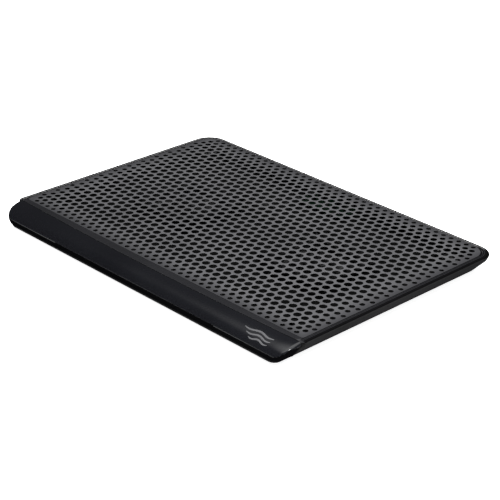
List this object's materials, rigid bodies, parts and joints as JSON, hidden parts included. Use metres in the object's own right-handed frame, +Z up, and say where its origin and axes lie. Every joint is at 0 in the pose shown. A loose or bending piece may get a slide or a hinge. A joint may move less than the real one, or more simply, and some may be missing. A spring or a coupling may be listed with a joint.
{
  "type": "laptop cooling pad",
  "caption": "Slim laptop cooling pad: perforated metal rest plate in a gloss frame, rounded front rail, leaning lower shell and axial fans under the plate.",
  "frame": {"origin": "centre of the footprint, on the surface that the feet stand on", "axes": "+X along the rounded front rail to the user's right, +Y away from the user, +Z up; the rounded rail faces -Y"},
  "size_m": [0.384, 0.2732, 0.0208],
  "materials": {
    "mesh_metal": "satin grey paint on perforated steel sheet",
    "gloss_trim": "gloss black moulding",
    "satin_front": "satin bluish black moulding",
    "shell_plastic": "fine spark-textured dark grey moulding",
    "fan_frame_plastic": "moulded black",
    "impeller_plastic": "moulded black",
    "bearing_bronze": "sintered bronze",
    "winding_copper": "enamelled copper winding on a steel core",
    "magnet": "bonded ferrite",
    "foot_rubber": "matt black rubber",
    "lead_jacket": "soft black jacket",
    "board_laminate": "green solder mask",
    "zinc_steel": "zinc-plated"
  },
  "bodies": {
    "root": {"board_screw_1": "zinc_steel", "board_screw_2": "zinc_steel", "foot_1": "foot_rubber", "foot_2": "foot_rubber", "foot_3": "foot_rubber", "foot_4": "foot_rubber", "front_rail": "satin_front", "left_bearing": "bearing_bronze", "left_fan_frame": "fan_frame_plastic", "left_fan_lead": "lead_jacket", "left_fan_screw_1": "zinc_steel", "left_fan_screw_2": "zinc_steel", "left_fan_screw_3": "zinc_steel", "left_fan_screw_4": "zinc_steel", "left_lead_plug": "lead_jacket", "left_stator": "winding_copper", "lower_shell": "shell_plastic", "perforated_plate": "mesh_metal", "power_board": "board_laminate", "power_inlet": "zinc_steel", "rail_screw_1": "zinc_steel", "rail_screw_2": "zinc_steel", "rail_screw_3": "zinc_steel", "right_bearing": "bearing_bronze", "right_fan_frame": "fan_frame_plastic", "right_fan_lead": "lead_jacket", "right_fan_screw_1": "zinc_steel", "right_fan_screw_2": "zinc_steel", "right_fan_screw_3": "zinc_steel", "right_fan_screw_4": "zinc_steel", "right_lead_plug": "lead_jacket", "right_stator": "winding_copper", "shell_screw_1": "zinc_steel", "shell_screw_2": "zinc_steel", "shell_screw_3": "zinc_steel", "shell_screw_4": "zinc_steel", "switch_body": "zinc_steel", "top_frame": "gloss_trim"},
    "left_rotor": {"left_impeller": "impeller_plastic", "left_shaft": "zinc_steel", "left_magnet_ring": "magnet"},
    "right_rotor": {"right_impeller": "impeller_plastic", "right_shaft": "zinc_steel", "right_magnet_ring": "magnet"},
    "switch_slider": {"switch_knob": "gloss_trim"}
  },
  "joints": [
    {"name": "left_fan_spin", "type": "hinge", "parent": "root", "child": "left_rotor", "pos_m": [-0.0865, 0.0106, 0.0115], "axis": [0, 0, 1], "continuous": true},
    {"name": "right_fan_spin", "type": "hinge", "parent": "root", "child": "right_rotor", "pos_m": [0.0865, 0.0106, 0.0115], "axis": [0, 0, 1], "continuous": true},
    {"name": "switch_slide", "type": "slide", "parent": "root", "child": "switch_slider", "axis": [1, 0, 0], "range_m": [0, 0.003]}
  ]
}
